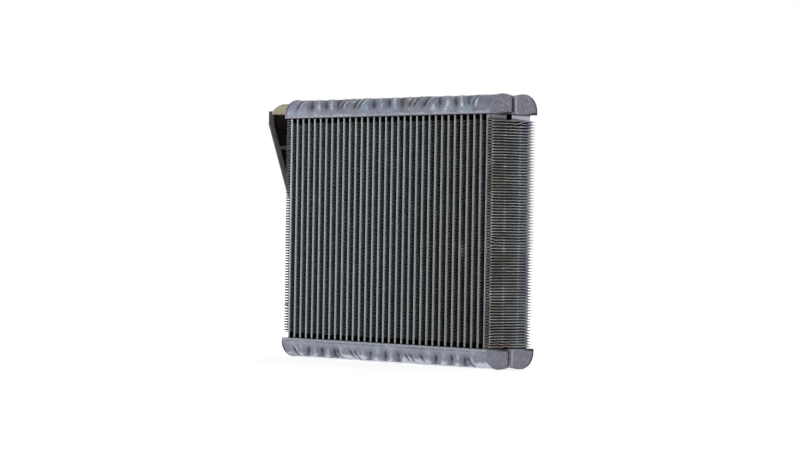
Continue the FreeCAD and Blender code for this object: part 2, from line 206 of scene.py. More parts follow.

# Where the marks fade in and out round a lobe, where a dent's painted shade is darkest and how
# far that reaches, in degrees of turn past its foot
CREASE_TURNS = (12, 34, 92, 116)
DENT_TURNS = (4, 34, 76, 104)
WIDE_DENT_TURNS = (36, 62)
FLANK_TURNS = (0, 24)
SHEEN_TURNS = (26, 70)
WAVE_TURNS = (2, 30, 104, 122)
DENT_DARKEST = 48
WIDE_DENT_DARKEST = 66
DARK_SPREAD = 30

# Seeds of the random marks, the first of each kind of piece
TANK_SEED = 3
BEAD_SEED = 7
CAP_SEED = 11
OUTER_FIN_SEED = 31
FIN_SEED = 101


def place_x(place):
    """Where a place, counted in tube pitches from the first tube, lies along the tanks."""
    return FIRST_TUBE_X + place * TUBE_PITCH


# Shapes worked out with numpy

def rise(value, low, high):
    """0 below low, 1 above high, and three squares less two cubes of the share between."""
    share = np.clip((value - low) / (high - low), 0, 1)
    return share * share * (3 - 2 * share)


def between(value, places):
    """0 outside four places, 1 between the two in the middle, and a rise and a fall beside."""
    return rise(value, places[0], places[1]) * rise(value, places[3], places[2])


def bell(value, centre, width):
    """e to the minus square of the distance from the centre over the width."""
    return np.exp(-((value - centre) / width) ** 2)


def full(wave, power):
    """A wave's size raised to a low power, with its sign kept, which makes its crests full."""
    return np.sign(wave) * np.abs(wave) ** power


def uneven(random, first, second, wave):
    """A rough field of about minus one to one: the mean of sine waves whose directions, lengths
    around wave and phases are drawn at random."""
    count = 20
    total = 0
    for turn in random.uniform(0, math.pi, count):
        length = wave * random.uniform(0.6, 1.7)
        travel = (first * math.cos(turn) + second * math.sin(turn)) / length
        total = total + np.sin(TAU * (travel + random.uniform(0, 1)))
    return total / math.sqrt(2 * count)


class Shell:
    """A piece in the making: grids of points joined by quads, flat lids and a tone per point."""

    def __init__(self):
        self.points = []
        self.tones = []
        self.faces = []
        self.count = 0

    def grid(self, points, tone=0.5, across=False, along=False):
        """Adds rows by columns of points. across joins each row's end to its start, and along
        the last row to the first. Returns the number of each point."""
        rows, columns = points.shape[:2]
        numbers = self.count + np.arange(rows * columns).reshape(rows, columns)
        joined = np.pad(numbers, ((0, int(along)), (0, int(across))), mode="wrap")
        corners = [joined[:-1, :-1], joined[1:, :-1], joined[1:, 1:], joined[:-1, 1:]]
        self.faces += np.stack(corners, axis=-1).reshape(-1, 4).tolist()
        self.points.append(points.reshape(-1, 3))
        self.tones.append(np.broadcast_to(tone, (rows, columns)).reshape(-1))
        self.count += rows * columns
        return numbers

    def lid(self, numbers):
        """Closes a ring of points with one flat face."""
        self.faces.append(numbers.tolist())

    def tube(self, points, tone=0.5):
        """A closed tube: rows of rings, with a lid at each end."""
        numbers = self.grid(points, tone, across=True)
        self.lid(numbers[0])
        self.lid(numbers[-1][::-1])


def stack(x, y, z):
    """Three arrays, stretched to one shape, as points."""
    return np.stack(np.broadcast_arrays(x, y, z), axis=-1).astype(float)


def there_and_back(first, second):
    """Joins two grids into rows that go out along the first and come back along the second."""
    return np.concatenate([first, second[:, ::-1]], axis=1)


def add_object(name, data):
    """A new object of the scene, at the origin."""
    item = bpy.data.objects.new(name, data)
    bpy.context.scene.collection.objects.link(item)
    return item


def make_piece(name, shell, slot, nodes=(), sharp=40, finish=None):
    """A mesh object in metres from a shell, with its faces outwards and its edges past the sharp
    angle kept sharp, in its slot's finish or the one given. It hangs from the root body, and
    the CAD nodes it stands for are hidden."""
    mesh = bpy.data.meshes.new(name)
    mesh.from_pydata((np.concatenate(shell.points) * MM).tolist(), [], shell.faces)
    tone = mesh.attributes.new("tone", "FLOAT", "POINT")
    tone.data.foreach_set("value", np.concatenate(shell.tones).astype(np.float32))
    work = bmesh.new()
    work.from_mesh(mesh)
    bmesh.ops.recalc_face_normals(work, faces=work.faces)
    work.to_mesh(mesh)
    work.free()
    mesh.shade_smooth()
    mesh.set_sharp_from_angle(angle=math.radians(sharp))
    mesh.materials.append((finish or FINISHES[slot]).material)
    piece = add_object(name, mesh)
    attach(piece, "root")
    if nodes:
        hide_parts(*nodes)
    return piece


# Finishes

def linear(colour):
    """A colour's 0 to 255 screen values as the linear values that a shader takes."""
    values = []
    for share in (value / 255 for value in colour):
        values.append(share / 12.92 if share <= 0.04045 else ((share + 0.055) / 1.055) ** 2.4)
    return (*values, 1.0)


class Wire:
    """One value inside a node tree. Sums on wires and numbers become Math nodes of the tree."""

    def __init__(self, nodes, socket):
        self.nodes = nodes
        self.socket = socket

    def maths(self, operation, *values):
        """A Math node on wires and numbers."""
        return self.nodes.node("ShaderNodeMath", {"operation": operation}, dict(enumerate(values)))

    def __add__(self, other):
        return self.maths("ADD", self, other)

    def __sub__(self, other):
        return self.maths("SUBTRACT", self, other)

    def __rsub__(self, other):
        return self.maths("SUBTRACT", other, self)

    def __mul__(self, other):
        return self.maths("MULTIPLY", self, other)

    def __truediv__(self, other):
        return self.maths("DIVIDE", self, other)

    def __pow__(self, other):
        return self.maths("POWER", self, other)

    def __abs__(self):
        return self.maths("ABSOLUTE", self)

    __radd__ = __add__
    __rmul__ = __mul__

    def clipped(self):
        """The value kept between 0 and 1."""
        return self.nodes.node("ShaderNodeClamp", {}, {0: self})

    def step(self, low, high):
        """0 below low, 1 above high, and a smooth rise between."""
        settings = {"interpolation_type": "SMOOTHSTEP"}
        return self.nodes.node("ShaderNodeMapRange", settings, {0: self, 1: low, 2: high})

    def bell(self, width):
        """e to the minus square of the value over the width."""
        return self.maths("EXPONENT", (self / width) ** 2 * -1.0)


class Nodes:
    """A node tree in the making, whose nodes all come from one method."""

    def __init__(self, tree):
        self.tree = tree

    def give(self, socket, value):
        """Links a wire to a socket, or sets the socket to a value."""
        if isinstance(value, Wire):
            self.tree.links.new(value.socket, socket)
        else:
            socket.default_value = value

    def node(self, kind, settings, inputs, output=0):
        """Adds a node: its settings come first, then the values or wires of its sockets. Returns
        one output as a wire, or nothing where the output is None."""
        node = self.tree.nodes.new(kind)
        for name, value in settings.items():
            setattr(node, name, value)
        for name, value in inputs.items():
            self.give(node.inputs[name], value)
        return None if output is None else Wire(self, node.outputs[output])

    def seen(self):
        """1 for a ray from the camera, off a gloss or through glass, and 0 for any other."""
        rays = ("Is Camera Ray", "Is Glossy Ray", "Is Transmission Ray")
        return sum(self.node("ShaderNodeLightPath", {}, {}, ray) for ray in rays).clipped()


class Finish(Nodes):
    """A procedural material. Its constants are set on the shader and its patterns are wires."""

    def __init__(self, name, metallic=0.0, roughness=0.5, specular=0.5):
        self.material = bpy.data.materials.new(name)
        self.material.use_nodes = True
        super().__init__(self.material.node_tree)
        self.shader = self.tree.nodes["Principled BSDF"]
        self.feed("Metallic", metallic)
        self.feed("Roughness", roughness)
        self.feed("Specular IOR Level", specular)

    def place(self):
        """The point on the object, in metres."""
        return self.node("ShaderNodeTexCoord", {}, {}, "Object")

    def axis(self, name):
        """One coordinate of the point, in millimetres."""
        return self.node("ShaderNodeSeparateXYZ", {}, {0: self.place()}, name) * 1000

    def upper(self):
        """1 on the upper half of the object, 0 on the lower half."""
        return self.axis("Z").step(100, 120)

    def lower(self):
        """1 on the lower half of the object, 0 on the upper half."""
        return self.axis("Z").step(120, 100)

    def past_plate(self):
        """The distance in millimetres from a tube plate's face to the core, out of the core."""
        middle = (UPPER_FACE + LOWER_FACE) / 2
        return abs(self.axis("Z") - middle) - (UPPER_FACE - middle)

    def tone(self):
        """The tone that a piece's points carry: below a half in hollows, above it on ridges. On the
        tanks and end caps it is painted shade and painted highlight.
        """
        return self.node("ShaderNodeAttribute", {"attribute_name": "tone"}, {}, "Fac")

    def noise(self, size, detail=3.0, rough=0.5, stretch=(1, 1, 1), warp=0.0):
        """Cloudy noise of 0 to 1 whose patches are about size millimetres wide."""
        place = self.node("ShaderNodeMapping", {}, {"Vector": self.place(), "Scale": stretch})
        values = {"Vector": place, "Scale": 1000 / size, "Detail": detail, "Roughness": rough}
        values["Distortion"] = warp
        return self.node("ShaderNodeTexNoise", {}, values, "Fac")

    def cells(self, size):
        """Distance to the nearest point of a scatter about size millimetres apart."""
        values = {"Vector": self.place(), "Scale": 1000 / size}
        return self.node("ShaderNodeTexVoronoi", {"feature": "F1"}, values, "Distance")

    def mix(self, factor, first, second):
        """A colour between two, each a wire or a colour's screen values."""
        first, second = (linear(item) if isinstance(item, tuple) else item for item in (first, second))
        inputs = {0: factor, 6: first, 7: second}
        return self.node("ShaderNodeMix", {"data_type": "RGBA"}, inputs, 2)

    def coats(self, base, *coats):
        """A base colour under coats. A coat is its factor and its colour, the lowest one first."""
        for factor, coat in coats:
            base = self.mix(factor, base, coat)
        return base

    def paint(self, base, *coats):
        """Gives the shader a base colour under coats."""
        self.feed("Base Color", self.coats(base, *coats))

    def feed(self, name, value):
        """Gives a wire or a value to one of the shader's sockets."""
        self.give(self.shader.inputs[name], value)

    def bump(self, height, depth):
        """Raises the surface by height, a wire, times depth in millimetres."""
        values = {"Height": height, "Distance": depth * MM, "Strength": 1.0}
        self.feed("Normal", self.node("ShaderNodeBump", {}, values))


def tank_finish():
    """Dull brazed sheet in blue, green and purple greys, clouded, banded across and grained:
    painted shade in the hollows, dark at the top tank's foot, painted highlights and sheen on the
    ridges, painted light over the bottom tank, violet at the top tank's left end and plain at the
    other ends, with painted shade at the right ends."""
    f = Finish("tank_finish", metallic=0.4)
    along, upper, lower = f.axis("X"), f.upper(), f.lower()
    clouds = f.noise(12, 4, 0.6, warp=0.6).step(0.35, 0.68)
    grain = f.noise(1.1, 2)
    flakes = f.noise(3.0, 4, 0.65)
    green = f.noise(24, 2, 0.5, stretch=(1, 0.4, 0.4)).step(0.46, 0.56)
    purple = f.noise(17, 2, 0.5, stretch=(1, 0.3, 0.5), warp=0.3).step(0.52, 0.62)
    bands = f.noise(10, 2, 0.4, stretch=(1, 0.12, 0.12))
    right_end_shade = along.step(152, 167)
    worn_end = along.step(-125, -130) * lower
    violet_end = along.step(-108, -124) * upper
    foot = f.past_plate().step(9, 2) * upper * along.step(-130, 10)
    tone = f.tone() + (flakes - 0.5) * 0.65
    f.paint(
        f.mix(green, (106, 111, 134), (104, 115, 121)),
        (purple * 0.7, (108, 101, 112)),
        (clouds * 0.55, (140, 144, 160)),
        (bands.step(0.54, 0.66) * 0.5, (138, 158, 178)),
        (bands.step(0.46, 0.34) * 0.5, (92, 87, 88)),
        # painted shade towards the right ends
        (right_end_shade * 0.75, (104, 104, 112)),
        (worn_end * 0.85, (103, 102, 98)),
        # painted light: the bottom tank made paler
        (lower * 0.5, (164, 168, 184)),
        (violet_end * 0.45, (148, 143, 178)),
        (foot * 0.45, (84, 86, 94)),
        # the tone's painted shade in the hollows, then its painted highlights and sheen on the ridges
        (tone.step(0.46, 0.02) * 0.95, (44, 44, 54)),
        (tone.step(0.54, 1.0), (232, 235, 244)),
        (grain * 0.2, (88, 92, 104)),
    )
    f.feed("Roughness", 0.45 + 0.2 * clouds + 0.1 * grain)
    f.bump(grain * 0.4 + flakes * 0.6, 0.14)
    return f


def cap_finish():
    """The tank's sheet on its ends: a plainer grey, strongly speckled, a little paler on the bottom
    tank from painted light, with the painted shade and highlights of the rims laid over the rest."""
    f = Finish("cap_finish", metallic=0.4)
    clouds = f.noise(7, 4, 0.6, warp=0.4).step(0.35, 0.7)
    grain = f.noise(0.9, 2)
    speckle = f.noise(1.8, 3, 0.6)
    f.paint(
        f.mix(clouds, (112, 113, 126), (136, 137, 152)),
        (f.noise(11, 2).step(0.5, 0.62) * 0.5, (122, 120, 117)),
        (speckle.step(0.5, 0.72) * 0.8, (160, 162, 170)),
        (speckle.step(0.48, 0.3) * 0.7, (80, 80, 88)),
        # painted light on the bottom caps, then the rims' painted shade and highlights from the tone
        (f.lower() * 0.2, (154, 155, 162)),
        (f.tone().step(0.46, 0.2) * 0.95, (26, 26, 36)),
        (f.tone().step(0.54, 0.8) * 0.9, (178, 179, 188)),
    )
    f.feed("Roughness", 0.5 + 0.2 * clouds)
    f.bump(grain * 0.5 + speckle * 0.5, 0.1)
    return f


def plate_finish():
    """The tube plates: brazed sheet with grey flux stains and small pale and dark specks, a paler
    rim, less pale on the top plate, and painted shade on the face between the tubes."""
    f = Finish("plate_finish", metallic=0.4)
    clouds = f.noise(10, 4, 0.6, warp=0.5).step(0.38, 0.7)
    specks = f.noise(2.2, 3, 0.6)
    rim = f.past_plate().step(2.4, 1.7)
    stains = f.noise(16, 3, 0.6, stretch=(1, 0.4, 1)).step(0.42, 0.62)
    # painted shade on the plate's face between the tubes, inside the core
    inside = abs(f.axis("Y")).step(27.5, 26.5) * f.past_plate().step(0.4, 0.1)
    f.paint(
        f.mix(stains, (100, 104, 118), (126, 129, 142)),
        (rim, f.mix(clouds, (120, 122, 133), (152, 154, 166))),
        (rim * f.upper() * 0.5, (106, 108, 120)),
        (specks.step(0.52, 0.75) * 0.6, (186, 189, 200)),
        (specks.step(0.46, 0.28) * 0.6, (84, 86, 96)),
        # painted shade between the tubes
        (inside * 0.9, (8, 8, 10)),
    )
    f.feed("Roughness", 0.5 + 0.2 * clouds + 0.3 * inside)
    f.bump(specks, 0.1)
    return f


def tube_finish():
    """Extruded flat tube: satin, paler to the left, with fine lines along it. A small dark tick
    marks each fold that is brazed to a flank, and painted shade darkens the flanks past the fins.
    The last tube's bare flank has stains and is paler above and behind, with painted shadow and
    shade beside the top plate."""
    f = Finish("tube_finish", metallic=0.9)
    along, depth, height, upper = f.axis("X"), f.axis("Y"), f.axis("Z"), f.upper()
    lines = f.noise(0.6, 2, stretch=(1, 1, 0.03))
    clouds = f.noise(7, 3, 0.6, stretch=(1, 1, 0.4)).step(0.35, 0.7)
    fold = height.maths("FRACT", (height - FIN_MIDDLE) / FOLD_PITCH)
    tick = (fold - 0.5).bell(0.2)
    sides = abs(depth).step(25.9, 25.2)
    # painted shade on the flanks past the fins' ends
    shade_past_fins = f.past_plate().step(-5.4, -4.6)
    bare_flank = along.step(162.9, 163.3)
    lumps = f.noise(2.5, 3, 0.6, stretch=(1, 0.4, 1)).step(0.35, 0.7)
    rear = depth.step(-1, 1)
    in_shadow = (f.past_plate() + depth.step(3, 24) * 1.9).step(-2.8, -3.7)
    # stains, with painted shadow and shade beside the top plate
    stains_and_painted_shade = f.coats(
        f.mix(lumps, (58, 54, 56), (122, 117, 118)),
        (upper * 0.4, (158, 156, 158)),
        (upper * rear * 0.85, (186, 188, 194)),
        # painted shadow of the top plate
        (upper * in_shadow * 0.7, (40, 40, 44)),
        # painted shade close to the plate
        (f.past_plate().step(-2.4, -0.2) * 0.4, (104, 104, 110)),
    )
    f.paint(
        f.mix(clouds, (118, 122, 124), (133, 137, 139)),
        (height.step(130, 20) * 0.3, (146, 150, 152)),
        (along.step(-20, 165) * 0.53, (98, 93, 95)),
        (along.step(-122, -124) * 0.45, (166, 169, 176)),
        (tick * sides * 0.55, (80, 83, 84)),
        # painted shade past the fins
        (shade_past_fins * sides, (3, 3, 4)),
        (bare_flank, stains_and_painted_shade),
        (lines * 0.2, (100, 104, 105)),
    )
    f.feed("Roughness", 0.38 + 0.2 * clouds)
    f.bump(lines, 0.03)
    return f


def fin_finish():
    """Thin rolled sheet: satin grey with rolling lines and duller patches, darker to the right,
    with paler crests near the core's faces and one bright scuff."""
    f = Finish("fin_finish", metallic=0.85)
    along = f.axis("X")
    clouds = f.noise(12, 4, 0.6, stretch=(1, 1, 0.6)).step(0.35, 0.7)
    rolling = f.noise(0.5, 2, stretch=(1, 0.05, 1))
    near_face = abs(f.axis("Y")).step(22, 25.2)
    scuff = (along - 129).bell(3) * (f.axis("Z") - 107).bell(5)
    f.paint(
        f.mix(clouds, (52, 58, 60), (69, 76, 78)),
        (along.step(-60, 150) * 0.7, (24, 25, 27)),
        (f.tone().step(0.35, 0.9) * near_face * 0.85, (112, 116, 118)),
        (scuff * near_face * 0.85, (170, 170, 173)),
        (rolling * 0.25, (48, 51, 52)),
    )
    f.feed("Roughness", 0.4 + 0.25 * clouds)
    f.bump(rolling, 0.02)
    return f


def outer_fin_finish():
    """The exposed fins: the same sheet with rubbed crests, paler towards the middle and bluish
    behind it, violet and olive patches and rust-tinted lowest folds. It is painted pale and dull
    at the rear edge and on the left, as painted light of the white backdrop seen through the thin
    sheet, and dark beside the foam pad."""
    f = Finish("outer_fin_finish")
    depth, height, left = f.axis("Y"), f.axis("Z"), f.axis("X").step(-120, -125)
    clouds = f.noise(12, 4, 0.6, stretch=(1, 1, 0.6)).step(0.35, 0.7)
    patches = f.noise(14, 4, 0.65, stretch=(1, 0.25, 1)).step(0.4, 0.6)
    rolling = f.noise(0.5, 2, stretch=(1, 0.05, 1))
    behind = depth.step(6, 9)
    rear_edge = depth.step(21.5, 25)
    by_pad = left * height.step(150, 170)
    ridge = f.tone().step(0.6, 0.95)
    violet = f.noise(26, 2, 0.4, stretch=(1, 0.5, 1)).step(0.48, 0.6) * depth.step(4, 20)
    olive = f.noise(19, 2, 0.4, stretch=(1, 0.3, 1)).step(0.53, 0.63) * depth.step(4, -4)
    rust = f.mix(depth.step(-2, 6), (172, 152, 145), (186, 194, 188))
    crest = f.coats(
        f.mix(patches, (124, 124, 124), (204, 205, 203)),
        (depth.step(-14, 8) * 0.6, (206, 210, 212)),
        (behind * 0.6, (163, 168, 176)),
    )
    f.paint(
        f.mix(clouds, (94, 95, 97), (116, 117, 119)),
        (depth.step(-22, -25.5) * 0.6, (142, 142, 145)),
        (behind * 0.8, (134, 138, 146)),
        (ridge * 0.75, crest),
        (violet * 0.5, (98, 88, 126)),
        (olive * 0.4, (108, 106, 80)),
        (height.step(25.5, 23) * 0.65, rust),
        # painted light of the white backdrop seen through the thin sheet, at the rear edge and on the
        # left
        (rear_edge, (245, 246, 250)),
        (left * 0.85, (226, 225, 225)),
        (by_pad * 0.9, f.mix(ridge, (122, 120, 134), (56, 54, 62))),
        (rolling * 0.2, (94, 95, 97)),
    )
    f.feed("Metallic", 0.85 - (rear_edge + left).clipped() * 0.65)
    f.feed("Roughness", 0.4 + 0.25 * clouds)
    f.bump(rolling, 0.02)
    return f


def plain_finish():
    """Turned and drawn aluminium: satin, with fine lines."""
    f = Finish("plain_finish", metallic=0.6)
    lines = f.noise(0.7, 3, stretch=(0.1, 1, 1))
    clouds = f.noise(5, 3).step(0.4, 0.7)
    f.paint(f.mix(clouds, (150, 151, 154), (172, 173, 176)))
    f.feed("Roughness", 0.35 + 0.2 * lines)
    f.bump(lines, 0.03)
    return f


def tan_finish():
    """Tan conversion coat on a cast and milled block: mottled, paler where it is rubbed."""
    f = Finish("tan_finish", metallic=0.15)
    clouds = f.noise(6, 5, 0.65, warp=0.8).step(0.35, 0.68)
    grain = f.noise(0.8, 3)
    f.paint(
        f.mix(clouds, (126, 116, 91), (177, 168, 143)),
        (f.noise(2.2, 5, 0.7).step(0.5, 0.7) * 0.6, (190, 185, 172)),
        (grain * 0.3, (104, 94, 68)),
    )
    f.feed("Roughness", 0.55 + 0.2 * clouds)
    f.bump(grain * 0.6 + clouds * 0.4, 0.1)
    return f


def bracket_finish():
    """Grey-brown coat on steel sheet, darkened so that its hollow holds painted shade: matte, scuffed
    in streaks and browner near the top. The front lip has a painted highlight along its outer edge,
    which tapers inwards below the block, and painted shade towards the pad."""
    f = Finish("bracket_finish", specular=0.15)
    clouds = f.noise(11, 5, 0.65, warp=0.5).step(0.35, 0.7)
    grain = f.noise(0.9, 3)
    streaks = f.noise(4, 6, 0.7, stretch=(1, 1, 0.3)).step(0.55, 0.7)
    knee = float(BLOCK_LOW[2])
    share = ((knee - f.axis("Z")) / (knee - BRACKET_LOW[2])).clipped()
    taper = BRACKET_HIGH[0] - BRACKET_SHEET - BRACKET_LOW[0]
    inward = f.axis("X") - BRACKET_LOW[0] - share * taper
    front = f.axis("Y").step(BRACKET_LOW[1] + 1.9, BRACKET_LOW[1] + 1.3)
    f.paint(
        # a dark base: the coat's grey-brown darkened as painted shade for the hollow
        f.mix(clouds, (38, 36, 33), (64, 60, 55)),
        (streaks * 0.6, (112, 108, 98)),
        (f.axis("Z").step(205, 228) * 0.7, (52, 41, 44)),
        # painted highlight along the lip's outer edge, then painted shade towards the pad
        (front * inward.step(2.6, 0.8) * 0.5, (128, 120, 110)),
        (front * inward.step(3.5, 8.5) * 0.75, (22, 20, 20)),
        (grain * 0.25, (38, 35, 33)),
    )
    f.feed("Roughness", 0.55 + 0.2 * clouds)
    f.bump(grain * 0.5 + clouds * 0.5, 0.08)
    return f


def foam_finish():
    """Closed-cell foam: black, matte, with small open cells on its skin, brown patches and grey
    dust, which is thickest near the top."""
    f = Finish("foam_finish", roughness=0.95, specular=0.03)
    cells = f.cells(1.1).step(0.1, 0.45)
    dust = (f.noise(6, 5, 0.7).step(0.55, 0.8) + f.axis("Z").step(222, 236)).clipped()
    f.paint(
        f.mix(cells, (1, 1, 1), (8, 7, 7)),
        (f.noise(5, 3).step(0.5, 0.66) * 0.6, (26, 16, 10)),
        (dust * 0.35, (44, 40, 34)),
    )
    f.bump(cells, 0.35)
    return f


# The finish of each slot, and the outer fins' own
FINISHES = {
    "tube_aluminium": tube_finish(),
    "fin_aluminium": fin_finish(),
    "tank_aluminium": tank_finish(),
    "plate_aluminium": plate_finish(),
    "cap_aluminium": cap_finish(),
    "plain_aluminium": plain_finish(),
    "tan_block": tan_finish(),
    "bracket_metal": bracket_finish(),
    "black_foam": foam_finish(),
}
OUTER_FIN_FINISH = outer_fin_finish()


# Tanks

def lobe_section(inset=0.0, foot=PLATE_THICKNESS, slit=CENTRE_SLIT):
    """One lobe's outside from its outer foot up to the slit's floor: a straight foot, a quarter
    round, a flatter crown, a small shoulder and the slit's straight wall. Returns the distance
    from the middle plane, the height, and the turn, the travel past the foot over the radius."""
    slit_y = slit / 2 + inset
    top_radius = CROWN_RADIUS - inset
    small_radius = SHOULDER_RADIUS - inset
    outer_radius = LOBE_RADIUS - inset
    top_centre_z = HEADER_HEIGHT - CROWN_RADIUS
    across = LOBE_CENTRE_Y - slit_y - small_radius
    up = math.sqrt((top_radius - small_radius) ** 2 - across ** 2)
    lean = math.atan2(up, -across)
    outer = np.linspace(0, math.pi / 2, 37)
    crown = np.linspace(math.pi / 2, lean, 11)[1:]
    shoulder = np.linspace(lean, math.pi, 7)[1:]
    y = np.concatenate([
        [COVER_HALF_DEPTH - inset],
        LOBE_CENTRE_Y + outer_radius * np.cos(outer),
        LOBE_CENTRE_Y + top_radius * np.cos(crown),
        slit_y + small_radius + small_radius * np.cos(shoulder),
        [slit_y, slit_y],
    ])
    shoulder_z = top_centre_z + up
    z = np.concatenate([
        [foot],
        LOBE_CENTRE_Z + outer_radius * np.sin(outer),
        top_centre_z + top_radius * np.sin(crown),
        shoulder_z + small_radius * np.sin(shoulder),
        [(shoulder_z + foot) / 2, foot],
    ])
    travel = np.concatenate([[0], np.cumsum(np.hypot(np.diff(y), np.diff(z)))])
    return y, z, np.degrees((travel - travel[1]) / LOBE_RADIUS)


def pressed(random, x, turn, y, sheen):
    """The marks of one lobe: how far its sheet stands out or in, and its tone, mostly painted shade
    and highlight. A crease lies across the tank at one x. A dent leans along the tank as it rises,
    so that x plus the lean times the drop in y is the same all the way up, and has a raised flank
    on each side. Waves cover the whole, and the crown has a painted sheen, most of all over some
    spans."""
    depth = np.zeros(np.broadcast(x, turn).shape)
    tone = np.full(depth.shape, 0.5)
    leaned = x + DENT_LEAN * (DENT_FOOT - y)
    half_leaned = x + WIDE_DENT_LEAN * (DENT_FOOT - y)
    for place in CREASES:
        centre = place_x(place)
        window = random.uniform(0.8, 1.15) * between(turn, CREASE_TURNS)
        groove = bell(x, centre, CREASE_WIDTH)
        edges = sum(share * bell(x, centre + past, width) for past, width, share in CREASE_EDGES)
        depth += window * (CREASE_RAISED * edges - CREASE_DEPTH * groove)
        # painted shade in the groove, painted highlights on its edges
        tone += window * (0.22 * edges - 0.48 * groove)
    for place in DENTS:
        centre = place_x(place)
        size = random.uniform(0.85, 1.15)
        window = size * between(turn, DENT_TURNS)
        core = bell(leaned, centre, DENT_WIDTH)
        darkest = DENT_DARKEST
        if place in WIDE_DENTS:
            wide_core = bell(half_leaned, centre + WIDE_DENT_PAST, WIDE_DENT_WIDTH)
            core = np.maximum(core, wide_core * rise(turn, *WIDE_DENT_TURNS))
            darkest = WIDE_DENT_DARKEST
        basin = bell(leaned, centre, BASIN_WIDTH)
        flanks = sum(bell(leaned, centre + side * FLANK_PLACE, FLANK_WIDTH) for side in (1, -1))
        depth += window * (FLANK_RAISED * flanks - DENT_DEPTH * core - BASIN_DEPTH * basin)
        # painted shade in the dent's core and basin, painted highlights on its flanks
        tone -= window * (core * (0.14 + 0.24 * bell(turn, darkest, DARK_SPREAD)) + 0.2 * basin)
        tone += size * 0.13 * flanks * rise(turn, *FLANK_TURNS)
    shine = 0
    for low, high in SHEEN_SPANS:
        left, right = place_x(low), place_x(high)
        shine = shine + between(leaned, (left - 4, left + 5, right - 5, right + 4))
    cloud = uneven(random, leaned, turn * 0.3, 9)
    # painted sheen over the crown
    tone += sheen * (0.45 + 0.55 * shine) * rise(turn, *SHEEN_TURNS) * (1 + 0.5 * cloud)
    tone += 0.06 * uneven(random, leaned, turn * 0.25, 26)
    tone += 0.06 * uneven(random, x, turn * 0.3, 7)
    waves = 0.14 * uneven(random, x, turn * 0.25, 17) + 0.05 * uneven(random, x, turn * 0.25, 6)
    depth += waves * between(turn, WAVE_TURNS)
    return np.minimum(depth, MOST_RAISED), tone


def tank_rows():
    """Places of the section along the tank: even steps, and closer ones over each crease."""
    rows = [np.arange(COVER_LOW[0], COVER_HIGH[0], TANK_STEP), [COVER_HIGH[0]]]
    for place in CREASES:
        rows.append(place_x(place) + np.linspace(-CREASE_REACH, CREASE_REACH, 19))
    rows = np.unique(np.round(np.concatenate(rows), 3))
    return rows[np.concatenate([[True], np.diff(rows) > LEAST_STEP])]


def make_tank(name, face_z, up, seed, sheen):
    """A tank's cover. At each place along it, the section's points are moved along the
    section's normal by the pressed depth, and the rows are closed into a tube."""
    random = np.random.default_rng(seed)
    y, z, turn = lobe_section(foot=SLIT_FLOOR)
    z[0] = PLATE_THICKNESS
    slope_y, slope_z = np.gradient(y), np.gradient(z)
    length = np.hypot(slope_y, slope_z)
    x = tank_rows()[:, None]
    lobes = []
    tones = []
    for side in (-1, 1):
        depth, tone = pressed(random, x, turn[None, :], y[None, :], sheen)
        across = side * (y + depth * slope_z / length)
        height = z - depth * slope_y / length
        lobes.append(stack(x, across, face_z + up * height))
        tones.append(tone)
    shell = Shell()
    shell.tube(there_and_back(*lobes), there_and_back(*tones))
    make_piece(name + "_shell", shell, "tank_aluminium", [name + "_cover"])


def cap_steps():
    """An end cap's profile from its inner edge to the tray, as insets, depths along X and shares
    of the rim's shade: a straight rim, a quarter round and the tray's steps."""
    steps = [(CAP_RIM + 0.1, -CAP_INNER, 1.0), (CAP_CLEARANCE, -CAP_INNER, 1.0)]
    for turn in np.linspace(0, math.pi / 2, 8):
        inset = CAP_CLEARANCE + CAP_ROUND * (1 - np.cos(turn))
        steps.append((inset, CAP_ROUND * (np.sin(turn) - 1) - CAP_CLEARANCE, 1 - 0.3 * turn / math.pi))
    return steps + [(inset, -depth, share) for inset, depth, share in CAP_TRAY]


def make_cap(name, end_x, outward, face_z, up, seed):
    """An end cap. Each lobe's outline goes out along X, rounds over at the rim, steps down into
    a shallow tray and closes on the lobe's centre. A rounded bar joins the lobes at the foot.
    The rims carry painted shade where they face the rear, the rear lobe's a painted highlight where
    they face the front, a left cap's tray painted light, and the bar a little painted shade."""
    random = np.random.default_rng(seed)
    shell = Shell()
    for side in (-1, 1):
        rings = []
        tones = []
        # painted shade on the rims facing the rear, painted highlight on the rear lobe's rims facing
        # the front
        painted_highlight_side = 0.24 if side > 0 else 0.0
        for inset, depth, rim_share in cap_steps():
            # painted light over a left cap's tray
            tray = 0.4 * rise(depth, -1.2, -0.5) if outward < 0 else 0.0
            y, z, _ = lobe_section(inset - CAP_RIM, foot=inset, slit=CAP_SLIT + 2 * CAP_RIM)
            rings.append(stack(end_x + outward * depth, side * y, face_z + up * z))
            to_rear = side * np.gradient(z) / np.hypot(np.gradient(y), np.gradient(z))
            tones.append(0.5 + tray - rim_share * np.where(to_rear > 0, 0.45, painted_highlight_side) * to_rear)
        inner = rings[-1]
        middle = inner.mean(axis=0)
        for share in (0.85, 0.7, 0.5, 0.3, 0.12):
            ring = middle + (inner - middle) * share
            lumps = 0.04 * uneven(random, ring[:, 1], ring[:, 2], 9)
            ring[:, 0] += outward * (0.1 * (1 - share) + lumps)
            rings.append(ring)
            tones.append(np.full(len(ring), 0.5))
        shell.tube(np.stack(rings), np.stack(tones))
    corner = np.linspace(0, TAU, 16, endpoint=False) + TAU / 32
    half_x, half_z = CAP_BAR_HALF
    bar_x, bar_z = (
        np.sign(wave) * (half - CAP_BAR_ROUND) + CAP_BAR_ROUND * wave
        for wave, half in ((np.cos(corner), half_x), (np.sin(corner), half_z))
    )
    middle_x = end_x - outward * (half_x + 0.1)
    y = np.array([-CAP_BAR_REACH, CAP_BAR_REACH])[:, None]
    # the bar's tone of 0.4 is a little painted shade at the slit's foot
    shell.tube(stack(middle_x + bar_x, y, face_z + up * (half_z + 0.05 + bar_z)), 0.4)
    make_piece(name + "_face", shell, "cap_aluminium", [name])


# Fins

